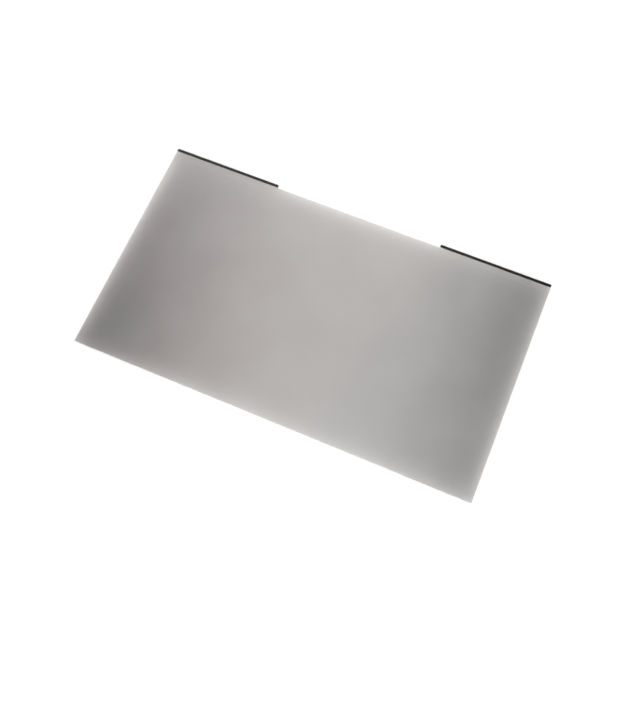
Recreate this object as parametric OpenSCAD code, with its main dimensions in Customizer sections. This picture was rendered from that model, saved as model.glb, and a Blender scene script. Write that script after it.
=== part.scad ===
// Privacy filter for a desktop monitor, lying flat with its magnet side up.
// The filter is one die-cut sheet of laminated louvre film, the size of the screen it covers.
// A long narrow tab stands out past its top edge at each end. Each tab carries a strip of
// flexible magnet, which holds the filter to the monitor's bezel above the screen.
// Millimetres. X runs along the width, Y towards the tabs and Z up from the underside.
// The origin is on the underside, at the middle of the overall outline.

/* [Sheet] */
// Width of the sheet, across the screen
sheet_w = 531; // [380:1:900]
// Height of the sheet, from its bottom edge to its top edge between the tabs
sheet_h = 298; // [120:1:500]
// Thickness of the laminated film
sheet_t = 0.5; // [0.2:0.05:1.5]
// Radius of the outer corners that the cutting die leaves
corner_r = 0.8; // [0.2:0.1:0.8]

/* [Tabs] */
// Length of each tab, from the side of the sheet inwards
tab_l = 150; // [40:1:180]
// How far each tab stands out past the top edge
tab_h = 4.6; // [4:0.1:12]
// Radius of the inner corner where a tab leaves the top edge
root_r = 0.8; // [0.2:0.1:1.5]

/* [Magnet strips] */
// Width of the flexible magnet strip
magnet_w = 3.5; // [2:0.1:3.7]
// Thickness of the flexible magnet strip
magnet_t = 1; // [0.5:0.1:3]
// Margin of bare film between a magnet strip and the outer edges of its tab
magnet_margin = 0.25; // [0.1:0.05:0.4]
// Radius of the eased long edges on the strip's upper face
magnet_edge_r = 0.2; // [0.05:0.05:0.3]

/* [Adhesive tape] */
// Thickness of the double-sided tape between a magnet strip and its tab
tape_t = 0.1; // [0.05:0.05:0.5]
// How far the tape stays inside the magnet strip's outline
tape_inset = 0.1; // [0.05:0.05:0.3]

/* [Hidden] */

// Height of the whole outline, with its tabs
overall_h = sheet_h + tab_h;
// Where the bottom edge, the top edge and the tabs' outer edge lie, with the outline centred
bottom_y = -overall_h / 2;
top_y = bottom_y + sheet_h;
tab_y = overall_h / 2;
// Length of a magnet strip, with the margin left at both ends of its tab
magnet_l = tab_l - 2 * magnet_margin;
// Outline of the tape, inside that of the magnet strip
tape_l = magnet_l - 2 * tape_inset;
tape_w = magnet_w - 2 * tape_inset;
// Middle of a tab along X, and of its magnet strip along Y
tab_x = (sheet_w - tab_l) / 2;
magnet_y = tab_y - magnet_margin - magnet_w / 2;
// Heights of the faces that meet in the stack
tape_z = sheet_t;
magnet_z = sheet_t + tape_t;
// Enough segments to draw each small arc as a smooth curve
$fn = 48;

// Rectangle from corner to corner, with its four corners eased by arcs
module eased_rectangle(low, high, radius) {
    size = high - low;
    translate(low) {
        translate([radius, 0])
            square([size[0] - 2 * radius, size[1]]);
        translate([0, radius])
            square([size[0], size[1] - 2 * radius]);
        for (x = [radius, size[0] - radius], y = [radius, size[1] - radius])
            translate([x, y])
                circle(r = radius);
    }
}

// Outline of one end of the sheet: the tab, its root, and the sheet below it
module end_outline() {
    inner_x = sheet_w / 2 - tab_l;
    difference() {
        union() {
            eased_rectangle([inner_x, bottom_y], [sheet_w / 2, tab_y], corner_r);
            translate([inner_x - root_r, top_y - root_r])
                square(2 * root_r);
        }
        translate([inner_x - root_r, top_y + root_r])
            circle(r = root_r);
    }
}

// One sheet: its two ends with their tabs, and the plain stretch between them
module filter_sheet() {
    middle_w = sheet_w - 2 * tab_l;
    color([0.62, 0.6, 0.59, 0.85])
        linear_extrude(height = sheet_t)
            union() {
                end_outline();
                mirror([1, 0])
                    end_outline();
                translate([-middle_w / 2 - corner_r, bottom_y])
                    square([middle_w + 2 * corner_r, sheet_h]);
            }
}

// Section of the magnet strip: flat below, where the tape holds it, with eased edges above
module magnet_section() {
    square([magnet_w, magnet_t - magnet_edge_r]);
    translate([magnet_edge_r, 0])
        square([magnet_w - 2 * magnet_edge_r, magnet_t]);
    for (y = [magnet_edge_r, magnet_w - magnet_edge_r])
        translate([y, magnet_t - magnet_edge_r])
            circle(r = magnet_edge_r);
}

// Length of flexible magnet, with its section along Y and its cut ends square to X
module magnet_strip(x) {
    color([0.13, 0.13, 0.13])
        translate([x - magnet_l / 2, magnet_y - magnet_w / 2, magnet_z])
            rotate([90, 0, 90])
                linear_extrude(height = magnet_l)
                    magnet_section();
}

// Length of double-sided tape under a magnet strip
module adhesive_tape(x) {
    color([0.8, 0.79, 0.76])
        translate([x - tape_l / 2, magnet_y - tape_w / 2, tape_z])
            cube([tape_l, tape_w, tape_t]);
}

filter_sheet();
adhesive_tape(-tab_x);  // adhesive_tape_left
adhesive_tape(tab_x);  // adhesive_tape_right
magnet_strip(-tab_x);  // magnet_strip_left
magnet_strip(tab_x);  // magnet_strip_right
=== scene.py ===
# %% [markdown]
# # A monitor privacy filter
# The filter is one big sheet of smoky film with two narrow tabs at its top corners. Each tab
# carries a strip of near-black flexible magnet on a thin tape. It lies on a white table with
# its magnets up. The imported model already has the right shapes, so this lesson is about finish
# and light: how a see-through film is given its grey, how its borders come to look pale, and
# how very dark rubber is kept from turning into a flat black bar.

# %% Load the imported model
import math

import bpy
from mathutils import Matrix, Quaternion, Vector


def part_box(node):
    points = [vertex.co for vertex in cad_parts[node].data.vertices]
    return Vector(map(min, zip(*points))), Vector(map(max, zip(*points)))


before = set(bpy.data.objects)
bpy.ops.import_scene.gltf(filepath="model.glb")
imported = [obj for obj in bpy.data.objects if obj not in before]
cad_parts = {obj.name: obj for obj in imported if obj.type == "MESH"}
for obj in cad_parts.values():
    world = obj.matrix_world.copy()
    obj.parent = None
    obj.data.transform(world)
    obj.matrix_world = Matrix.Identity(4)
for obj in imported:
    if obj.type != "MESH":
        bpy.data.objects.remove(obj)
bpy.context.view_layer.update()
MM = 0.001

# %% [markdown]
# ## Camera
# The photograph looks down on the filter from beyond its lower right. The place of a camera can
# be worked out from the picture of a rectangle: its four straight edges fix where the camera
# stands, where it looks, how far it is rolled and how long its lens is. The lens comes out in
# pixels of the photograph, and is turned here into the millimetres that Blender wants. In a tall
# picture the sensor's width stands for the picture's height. `to_track_quat` gives a level
# camera, and one more turn about its own axis gives the roll.

# %% Place the camera
PHOTO_HEIGHT_PX = 720
FOCAL_PX = 875.5
EYE = Vector((186.0, -377.0, 1033.1)) * MM
AIM = Vector((23.7, -58.8, 0.0)) * MM
ROLL = math.radians(-4.17)
OWN_AXIS = (0, 0, 1)

camera_data = bpy.data.cameras.new("photo_camera")
camera = bpy.data.objects.new("photo_camera", camera_data)
bpy.context.scene.collection.objects.link(camera)
camera_data.lens = FOCAL_PX * camera_data.sensor_width / PHOTO_HEIGHT_PX
camera.location = EYE
camera.rotation_mode = "QUATERNION"
camera.rotation_quaternion = (AIM - EYE).to_track_quat("-Z", "Y") @ Quaternion(OWN_AXIS, ROLL)
bpy.context.scene.camera = camera
print("lens", round(camera_data.lens, 2), "mm, distance", round((AIM - EYE).length, 3), "m")

# %% [markdown]
# ## Table
# The floor is a slab of milky acrylic. Light that enters it beside the sheet travels sideways
# inside it and comes up again under the edge of the film, so the film looks paler along its
# border. An ordinary floor material can't do that, and a painted border wouldn't answer to the
# light. Subsurface scattering does exactly this, so the table gets it at full weight. Its scale
# isn't the distance the light travels: the light has faded after about a third of it. The slab is
# far wider than the filter, so that a low view sees white all the way to the horizon. Its top
# lies a hair below the sheet, because two faces at one height come out blotchy. Loading leaves
# the filter's pieces selected, so they are deselected before the slab is made and scaled.

# %% Make the table
TABLE_SIDE = 60.0
TABLE_THICK = 0.05
TABLE_GAP = 0.2 * MM
TABLE_MILK = 1.0
TABLE_GLOW = 45 * MM
SAME_FOR_ALL_COLOURS = (1, 1, 1)
TABLE_WHITE = (0.965, 0.945, 0.93, 1)
TABLE_ROUGHNESS = 0.9
TABLE_GLOSS = 0.0


def new_material(name):
    material = bpy.data.materials.new(name)
    material.use_nodes = True
    return material, material.node_tree.nodes["Principled BSDF"]


bpy.ops.object.select_all(action="DESELECT")
bpy.ops.mesh.primitive_cube_add(size=1, location=(0, 0, -TABLE_GAP - TABLE_THICK / 2))
table = bpy.context.object
table.name = "milky_table"
table.scale = (TABLE_SIDE, TABLE_SIDE, TABLE_THICK)
bpy.ops.object.transform_apply(location=True, rotation=True, scale=True)

acrylic, shader = new_material("milky_acrylic")
shader.subsurface_method = "BURLEY"
shader.inputs["Base Color"].default_value = TABLE_WHITE
shader.inputs["Roughness"].default_value = TABLE_ROUGHNESS
shader.inputs["Specular IOR Level"].default_value = TABLE_GLOSS
shader.inputs["Subsurface Weight"].default_value = TABLE_MILK
shader.inputs["Subsurface Radius"].default_value = SAME_FOR_ALL_COLOURS
shader.inputs["Subsurface Scale"].default_value = TABLE_GLOW
table.data.materials.append(acrylic)
print("table top", round(-TABLE_GAP / MM, 2), "mm")

# %% [markdown]
# ## Light
# A white room gives most of the light, so nothing casts a hard shadow. One big soft lamp stands
# behind the filter to its left and gives the light a gentle direction. Together they lift the
# table just past white, so that even the faint shadow round the sheet stays white. The Standard
# view shows white as white.

# %% Light the table
ROOM_WHITE = (1, 1, 1, 1)
ROOM_LIGHT = 1.12
LAMP_WATTS = 11
LAMP_SIZE = (2.4, 1.6)
LAMP_PLACE = Vector((-0.6, 0.9, 2.0))

world = bpy.data.worlds.new("white_room")
bpy.context.scene.world = world
world.use_nodes = True
background = world.node_tree.nodes["Background"]
background.inputs["Color"].default_value = ROOM_WHITE
background.inputs["Strength"].default_value = ROOM_LIGHT

lamp_data = bpy.data.lights.new("soft_lamp", "AREA")
lamp_data.shape = "RECTANGLE"
lamp_data.size, lamp_data.size_y = LAMP_SIZE
lamp_data.energy = LAMP_WATTS
lamp = bpy.data.objects.new("soft_lamp", lamp_data)
bpy.context.scene.collection.objects.link(lamp)
lamp.location = LAMP_PLACE
lamp.rotation_mode = "QUATERNION"
lamp.rotation_quaternion = (-LAMP_PLACE).to_track_quat("-Z", "Y")
bpy.context.scene.view_settings.view_transform = "Standard"
print("lamp", LAMP_WATTS, "W,", round(LAMP_PLACE.length, 2), "m away")

# %% [markdown]
# ## Node helpers
# A material here is arithmetic on the place of a point, so a few small helpers keep it
# readable. `wire` puts a number or another node's socket into a socket, and `dress` gives a
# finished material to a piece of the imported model. Each of the others adds a node or two and
# hands back the result: a sum, a scaled vector, a change of range, a mix, a noise or a bump.
# A noise gets its size from a mapping in front of it, so its own scale stays at one. It swings
# about one half and seldom gets near 0 or 1, so most of what it drives is stretched from its
# usual span, or from the narrower middle of it where the pattern should be stronger. Places and
# heights are given in millimetres, because every size of the filter is known in millimetres.

# %% Helpers for arithmetic
def wire(tree, value, socket):
    if isinstance(value, bpy.types.NodeSocket):
        tree.links.new(value, socket)
    else:
        socket.default_value = value


def maths(tree, operation, *values):
    node = tree.nodes.new("ShaderNodeMath")
    node.operation = operation
    for value, socket in zip(values, node.inputs):
        wire(tree, value, socket)
    return node.outputs["Value"]


def scaled(tree, vector, factor):
    node = tree.nodes.new("ShaderNodeVectorMath")
    node.operation = "SCALE"
    wire(tree, vector, node.inputs[0])
    wire(tree, factor, node.inputs["Scale"])
    return node.outputs["Vector"]


def remap(tree, value, old, new, kind="LINEAR"):
    node = tree.nodes.new("ShaderNodeMapRange")
    node.interpolation_type = kind
    wire(tree, value, node.inputs["Value"])
    for name, number in zip(("From Min", "From Max", "To Min", "To Max"), (*old, *new)):
        wire(tree, number, node.inputs[name])
    return node.outputs["Result"]


# %% Helpers for mixes
def mix_numbers(tree, share, first, second):
    node = tree.nodes.new("ShaderNodeMix")
    for name, value in (("Factor", share), ("A", first), ("B", second)):
        wire(tree, value, node.inputs[name])
    return node.outputs["Result"]


def mix_colours(tree, share, first, second):
    node = tree.nodes.new("ShaderNodeMix")
    node.data_type = "RGBA"
    colour_inputs = [socket for socket in node.inputs if socket.type == "RGBA"]
    wire(tree, share, node.inputs["Factor"])
    for value, socket in zip((first, second), colour_inputs):
        wire(tree, value, socket)
    return [socket for socket in node.outputs if socket.type == "RGBA"][0]


# %% Helpers for patterns
NOISE_SPAN = (0.3, 0.7)
NOISE_MIDDLE = (0.35, 0.65)
ONE_CELL = 1.0
FULL_BUMP = 1.0


def noise(tree, where, size_mm, detail=2.0):
    stretch = tree.nodes.new("ShaderNodeMapping")
    stretch.inputs["Scale"].default_value = [1 / size for size in size_mm]
    tree.links.new(where, stretch.inputs["Vector"])
    node = tree.nodes.new("ShaderNodeTexNoise")
    node.inputs["Scale"].default_value = ONE_CELL
    node.inputs["Detail"].default_value = detail
    tree.links.new(stretch.outputs["Vector"], node.inputs["Vector"])
    return node.outputs["Fac"]


def bump(tree, height, height_in_mm=1.0):
    node = tree.nodes.new("ShaderNodeBump")
    node.inputs["Strength"].default_value = FULL_BUMP
    node.inputs["Distance"].default_value = height_in_mm * MM
    tree.links.new(height, node.inputs["Height"])
    return node.outputs["Normal"]


# %% Helpers for places and dressing
def place_in_mm(tree):
    coordinates = tree.nodes.new("ShaderNodeTexCoord")
    return scaled(tree, coordinates.outputs["Object"], 1 / MM)


def x_y_z(tree, where):
    split = tree.nodes.new("ShaderNodeSeparateXYZ")
    tree.links.new(where, split.inputs[0])
    return split.outputs


def dress(node_name, material):
    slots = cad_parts[node_name].data.materials
    slots.clear()
    slots.append(material)
    print(node_name, "wears", material.name)


# %% [markdown]
# ## Film: how grey it is
# Inside the film stand rows of tiny black louvres. Looked at squarely they let most of the
# light through, and at a slant they close. From one place the film is therefore clearest along
# a ridge and darkens towards both ends. A material may not ask where the camera is, so the
# grey is settled on the sheet itself, for a viewer in front of it: a clear ridge that leans a
# little, and a rise in alpha to either side of it. The left end gets darker towards its bottom
# corner. Light crosses two faces on its way down and two on its way up, so alpha acts four
# times, and a little of it goes a long way. The sheet's box reaches to the top of the tabs, so
# their rise is taken off to find the film's own top edge, between them.

# %% Start the film with its grey
SHEET_LOW, SHEET_HIGH = (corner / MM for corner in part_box("filter_sheet"))
TAB_RISE = 4.6
HALF_WIDTH = SHEET_HIGH.x
BOTTOM = SHEET_LOW.y
TOP = SHEET_HIGH.y - TAB_RISE
CLEAR_ALPHA = 0.2595
END_DISTANCE = 200.0
END_POWER = 2.263
LEFT_GAIN = 0.0762
RIGHT_GAIN = 0.1283
RIDGE_X = 39.7
RIDGE_LEAN = 0.185
LEFT_DROP_PER_MM = 0.00186

film, shader = new_material("louvre_film")
tree = film.node_tree
where = place_in_mm(tree)
x, y, z = x_y_z(tree, where)
ridge = maths(tree, "MULTIPLY_ADD", y, -RIDGE_LEAN, RIDGE_X)
off_ridge = maths(tree, "SUBTRACT", x, ridge)


def closed_louvres(distance, gain):
    beyond = maths(tree, "MAXIMUM", maths(tree, "DIVIDE", distance, END_DISTANCE), 0.0)
    return maths(tree, "MULTIPLY", maths(tree, "POWER", beyond, END_POWER), gain)


left_closed = closed_louvres(maths(tree, "MULTIPLY", off_ridge, -1.0), LEFT_GAIN)
right_closed = closed_louvres(off_ridge, RIGHT_GAIN)
lower_is_darker = maths(tree, "MULTIPLY_ADD", y, -LEFT_DROP_PER_MM, 1.0)
left_closed = maths(tree, "MULTIPLY", left_closed, lower_is_darker)
closed = maths(tree, "ADD", left_closed, right_closed)
face_alpha = maths(tree, "ADD", closed, CLEAR_ALPHA)
print("clear ridge at the bottom x", round(RIDGE_X - RIDGE_LEAN * BOTTOM, 1), "mm")
print("clear ridge at the top x", round(RIDGE_X - RIDGE_LEAN * TOP, 1), "mm")

# %% [markdown]
# ## Film: painted light at its edges
# Light that reaches under the film at its cut edges makes the film look paler along its border.
# The table does part of this already, and the rest is painted light: the film's grey is painted
# thinner near each edge. The painted light from every edge fades exponentially, with a strength
# and a reach of its own, and the shares of grey that they leave are multiplied. The top edge has
# a second painted light that is faint and reaches further. The strips keep part of the light
# out, the left one more than the right one, so the top edge's near light counts in full only
# between them. The two sides give less light near the corners.

# %% Paint light at the edges by thinning the grey
LEFT_REACH, LEFT_STRENGTH = 11.0, 0.521
RIGHT_REACH, RIGHT_STRENGTH = 9.7, 0.443
BOTTOM_REACH, BOTTOM_STRENGTH = 13.8, 0.2415
TOP_REACH, TOP_STRENGTH = 8.45, 0.369
TOP_FAR_REACH, TOP_FAR_STRENGTH = 48.4, 0.087
LOW_CORNER_SIZE, LOW_CORNER_SHARE = 39.2, 0.575
HIGH_CORNER_SIZE, HIGH_CORNER_SHARE = 32.5, 0.675
LEFT_TAB, LEFT_TAB_SHARE = (-135.0, -95.0), 0.344
RIGHT_TAB, RIGHT_TAB_SHARE = (100.0, 150.0), 0.68


def painted_edge_light(distance, reach, strength):
    share = maths(tree, "EXPONENT", maths(tree, "DIVIDE", distance, -reach))
    return maths(tree, "MULTIPLY", share, strength)


from_left = maths(tree, "ADD", x, HALF_WIDTH)
from_right = maths(tree, "SUBTRACT", HALF_WIDTH, x)
from_bottom = maths(tree, "SUBTRACT", y, BOTTOM)
from_top = maths(tree, "SUBTRACT", TOP, y)
low_corner = remap(tree, from_bottom, (0, LOW_CORNER_SIZE), (LOW_CORNER_SHARE, 1), "SMOOTHSTEP")
high_corner = remap(tree, from_top, (0, HIGH_CORNER_SIZE), (HIGH_CORNER_SHARE, 1), "SMOOTHSTEP")
corner = maths(tree, "MULTIPLY", low_corner, high_corner)
past_left_tab = remap(tree, x, LEFT_TAB, (LEFT_TAB_SHARE, 1), "SMOOTHSTEP")
past_right_tab = remap(tree, x, RIGHT_TAB, (1, RIGHT_TAB_SHARE), "SMOOTHSTEP")
past_tabs = maths(tree, "MULTIPLY", past_left_tab, past_right_tab)

left_light = maths(tree, "MULTIPLY", painted_edge_light(from_left, LEFT_REACH, LEFT_STRENGTH), corner)
right_light = maths(tree, "MULTIPLY", painted_edge_light(from_right, RIGHT_REACH, RIGHT_STRENGTH), corner)
bottom_light = painted_edge_light(from_bottom, BOTTOM_REACH, BOTTOM_STRENGTH)
top_light = maths(tree, "MULTIPLY", painted_edge_light(from_top, TOP_REACH, TOP_STRENGTH), past_tabs)
top_far_light = painted_edge_light(from_top, TOP_FAR_REACH, TOP_FAR_STRENGTH)
# Painted light: the grey is thinned near every edge, and less beside the strips.
for light in (left_light, right_light, bottom_light, top_light, top_far_light):
    face_alpha = maths(tree, "MULTIPLY", face_alpha, maths(tree, "SUBTRACT", 1.0, light))
print("edge light reaches", LEFT_REACH, "mm on the left and", BOTTOM_REACH, "mm at the bottom")

# %% [markdown]
# ## Film: haze and streaks
# No laminate is perfectly even. Soft clouds of haze a few centimetres wide make its grey uneven
# by two or three parts in a hundred, and the louvres leave fine streaks that run from top to
# bottom. Real louvres stand in a regular row, but a regular row finer than a pixel would turn
# into false stripes, so stretched noise takes its place. It is kept faint, because from a step
# away the film looks smooth, and streaks strong enough to show there would look like brushed
# metal.

# %% Add haze and streaks
CLOUD_SIZE = (65, 65, 65)
CLOUD_SHARE = 0.08
STREAK_SIZE = (0.3, 150, 150)
STREAK_SHARE = 0.045


def around_one(pattern, share):
    return remap(tree, pattern, (0, 1), (1 - share, 1 + share))


cloud = around_one(noise(tree, where, CLOUD_SIZE, detail=3.0), CLOUD_SHARE)
streak = around_one(noise(tree, where, STREAK_SIZE, detail=1.0), STREAK_SHARE)
for pattern in (cloud, streak):
    face_alpha = maths(tree, "MULTIPLY", face_alpha, pattern)
print("haze clouds about", CLOUD_SIZE[0], "mm wide, streaks about", STREAK_SIZE[0], "mm wide")

# %% [markdown]
# ## Film: cut edges
# Seen from the side, the sheet is a sandwich: a dark core of louvres between two clear films.
# The core is closed to light from the side, so its alpha is high, and the clear films keep a
# low one. The flat faces lie exactly at the lowest and the highest height, so any height in
# between belongs to a cut edge, and no other test is needed to find the edges.

# %% Colour the cut edges
SKIN = 0.1
NEAR_FACE = 0.02
CORE_ALPHA = 0.8
SKIN_ALPHA = 0.3
THICK = SHEET_HIGH.z

depth = maths(tree, "MINIMUM", z, maths(tree, "SUBTRACT", THICK, z))
on_edge = remap(tree, depth, (NEAR_FACE / 2, NEAR_FACE), (0, 1))
in_core = remap(tree, depth, (SKIN - NEAR_FACE, SKIN + NEAR_FACE), (0, 1), "SMOOTHSTEP")
edge_alpha = remap(tree, in_core, (0, 1), (SKIN_ALPHA, CORE_ALPHA))
film_alpha = mix_numbers(tree, on_edge, face_alpha, edge_alpha)
wire(tree, film_alpha, shader.inputs["Alpha"])
print("core", round(THICK - 2 * SKIN, 2), "mm of", round(THICK, 2), "mm")

# %% [markdown]
# ## Film: colour
# What shows of the film itself is a dark grey whose tint drifts across the sheet: a trace of
# rose at the left, warm in the middle and cooler at the right. The change is slanted, so it
# follows a place that is worked out from both x and y. Low at the left, where the film is
# darkest, the rose gives way to the cool grey once more, so a round spot there gets it too.
# Three greys and three smooth mixes do all of this, and a fourth mix makes the core of the cut
# edges nearly black.

# %% Tint the film
ROSE_GREY = (0.1095, 0.088, 0.0905, 1)
WARM_GREY = (0.1122, 0.088, 0.081, 1)
COOL_GREY = (0.0918, 0.088, 0.0857, 1)
CORE_BLACK = (0.03, 0.03, 0.03, 1)
TINT_LEAN = 0.32
ROSE_UNTIL, WARM_FROM = -230.0, -60.0
WARM_UNTIL, COOL_FROM = 18.0, 139.0
COOL_SPOT = (-226.0, -110.0, 0.0)
SPOT_FULL, SPOT_GONE = 10.0, 66.0

across = maths(tree, "MULTIPLY_ADD", y, -TINT_LEAN, x)
warm_share = remap(tree, across, (ROSE_UNTIL, WARM_FROM), (0, 1), "SMOOTHSTEP")
cool_share = remap(tree, across, (WARM_UNTIL, COOL_FROM), (0, 1), "SMOOTHSTEP")
left_colour = mix_colours(tree, warm_share, ROSE_GREY, WARM_GREY)
face_colour = mix_colours(tree, cool_share, left_colour, COOL_GREY)

from_spot = tree.nodes.new("ShaderNodeVectorMath")
from_spot.operation = "DISTANCE"
wire(tree, where, from_spot.inputs[0])
wire(tree, COOL_SPOT, from_spot.inputs[1])
to_spot = from_spot.outputs["Value"]
spot_share = remap(tree, to_spot, (SPOT_FULL, SPOT_GONE), (1, 0), "SMOOTHSTEP")
face_colour = mix_colours(tree, spot_share, face_colour, COOL_GREY)

core_share = maths(tree, "MULTIPLY", on_edge, in_core)
film_colour = mix_colours(tree, core_share, face_colour, CORE_BLACK)
wire(tree, film_colour, shader.inputs["Base Color"])
print("cool spot fades out", SPOT_GONE, "mm from x", COOL_SPOT[0], "and y", COOL_SPOT[1])

# %% [markdown]
# ## Film: sheen
# The face is satin. The gloss comes from the shader, with a roughness that changes softly, a
# fine grain, and long low waves, because a big thin sheet never lies dead flat. All three are
# slight: they show as a softer light, and not as marks.

# %% Give the film its satin face
SATIN = (0.39, 0.46)
PATCH_SIZE = (24, 24, 24)
GRAIN_SIZE = (0.7, 0.7, 0.7)
GRAIN_DEPTH = 0.0015
WAVE_SIZE = (140, 90, 90)
WAVE_DEPTH = 0.3
FILM_GLOSS = 0.4

patch = noise(tree, where, PATCH_SIZE)
wire(tree, remap(tree, patch, NOISE_SPAN, SATIN), shader.inputs["Roughness"])
grain_height = maths(tree, "MULTIPLY", noise(tree, where, GRAIN_SIZE, detail=3.0), GRAIN_DEPTH)
wave_height = maths(tree, "MULTIPLY", noise(tree, where, WAVE_SIZE, detail=0.0), WAVE_DEPTH)
face_height = maths(tree, "ADD", grain_height, wave_height)
wire(tree, bump(tree, face_height), shader.inputs["Normal"])
shader.inputs["Specular IOR Level"].default_value = FILM_GLOSS
dress("filter_sheet", film)

# %% [markdown]
# ## Magnet strips: colour and painted sheen
# Flexible magnet is rubber filled with black powder, rolled into a long strip and cut to
# length. Rolling leaves faint streaks along it, and its edges are rubbed a little lighter.
# Even such rubber sends back some light, and a flat black would look like a hole. Painted sheen
# makes it lighter at the filter's left end, about two parts in a hundred, than at its right end,
# a few parts in a thousand. The painted sheen fades slowly at first and faster towards the right
# end, so its mix is a power. An edge is where the surface is both near a long side and near the
# top, and the powder breaks up its wear.

# %% Start the magnet with its colour and painted sheen
STRIP_LOW, STRIP_HIGH = (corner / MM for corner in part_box("magnet_strip_left"))
RUBBER_LEFT_WITH_SHEEN = (0.0222, 0.0208, 0.0208, 1)
RUBBER_RIGHT_LESS_SHEEN = (0.0030, 0.0025, 0.0025, 1)
SHEEN_FALL_POWER = 2.0
RUBBED = (0.040, 0.038, 0.037, 1)
EDGE_ROUND = 0.2
WEAR_STARTS = 2 * EDGE_ROUND
WEAR_IS_FULL = EDGE_ROUND / 2
WORN_SHARE = (0.2, 0.9)
POWDER_SIZE = (0.4, 0.4, 0.4)
ROLL_STREAK = (28, 0.45, 0.45)
STREAK_SWING = (0.75, 1.25)

magnet, shader = new_material("flexible_magnet")
tree = magnet.node_tree
where = place_in_mm(tree)
x, y, z = x_y_z(tree, where)
to_right = remap(tree, x, (STRIP_LOW.x, -STRIP_LOW.x), (0, 1))
# Painted sheen: the rubber is lighter at the left end and darker towards the right.
rubber = mix_colours(tree, maths(tree, "POWER", to_right, SHEEN_FALL_POWER), RUBBER_LEFT_WITH_SHEEN, RUBBER_RIGHT_LESS_SHEEN)


def wear_near(distance, end):
    return remap(tree, distance, (end - WEAR_STARTS, end - WEAR_IS_FULL), (0, 1))


strip_middle = (STRIP_LOW.y + STRIP_HIGH.y) / 2
strip_half = (STRIP_HIGH.y - STRIP_LOW.y) / 2
off_middle = maths(tree, "ABSOLUTE", maths(tree, "SUBTRACT", y, strip_middle))
side_wear = wear_near(off_middle, strip_half)
top_wear = wear_near(z, STRIP_HIGH.z)
wear = maths(tree, "MULTIPLY", side_wear, top_wear)
powder = noise(tree, where, POWDER_SIZE, detail=3.0)
wear = maths(tree, "MULTIPLY", wear, remap(tree, powder, NOISE_MIDDLE, WORN_SHARE))
rubber = mix_colours(tree, wear, rubber, RUBBED)

streak = noise(tree, where, ROLL_STREAK, detail=2.0)
swing = remap(tree, streak, NOISE_SPAN, STREAK_SWING)
wire(tree, scaled(tree, rubber, swing), shader.inputs["Base Color"])
print("strip", round(2 * strip_half, 2), "mm wide, rubbed over its outer", WEAR_STARTS, "mm")

# %% [markdown]
# ## Magnet strips: grain
# The powder stands out of the rubber as a fine grain, so the same noise that broke up the wear
# also lifts the surface and changes its roughness. The rolling streaks are almost as deep as
# the grain. Rubber has little gloss.

# %% Give the magnet its grain
MATT = (0.62, 0.78)
POWDER_DEPTH = 0.012
STREAK_TO_POWDER = 0.8
RUBBER_GLOSS = 0.2

wire(tree, remap(tree, powder, NOISE_SPAN, MATT), shader.inputs["Roughness"])
rubber_height = maths(tree, "ADD", powder, maths(tree, "MULTIPLY", streak, STREAK_TO_POWDER))
wire(tree, bump(tree, rubber_height, POWDER_DEPTH), shader.inputs["Normal"])
shader.inputs["Specular IOR Level"].default_value = RUBBER_GLOSS
for name in ("magnet_strip_left", "magnet_strip_right"):
    dress(name, magnet)

# %% [markdown]
# ## Tape
# Each strip is held by a thin double-sided tape. Only its sides can be seen, as a pale line
# under the rubber. It is a cloudy plastic, so it gets a soft grey-white with small clouds,
# which are a little darker and rougher than what lies between them.

# %% Make the tape
TAPE_PALE = (0.72, 0.71, 0.67, 1)
TAPE_CLOUDY = (0.60, 0.59, 0.56, 1)
TAPE_CLOUD = (3.0, 3.0, 3.0)
TAPE_SATIN = (0.45, 0.6)
TAPE_GRAIN = (0.3, 0.3, 0.3)
TAPE_GRAIN_DEPTH = 0.01

tape, shader = new_material("clear_tape")
tree = tape.node_tree
where = place_in_mm(tree)
cloud = noise(tree, where, TAPE_CLOUD, detail=3.0)
share = remap(tree, cloud, NOISE_MIDDLE, (0, 1))
wire(tree, mix_colours(tree, share, TAPE_PALE, TAPE_CLOUDY), shader.inputs["Base Color"])
wire(tree, remap(tree, cloud, NOISE_SPAN, TAPE_SATIN), shader.inputs["Roughness"])
wire(tree, bump(tree, noise(tree, where, TAPE_GRAIN), TAPE_GRAIN_DEPTH), shader.inputs["Normal"])
for name in ("adhesive_tape_left", "adhesive_tape_right"):
    dress(name, tape)
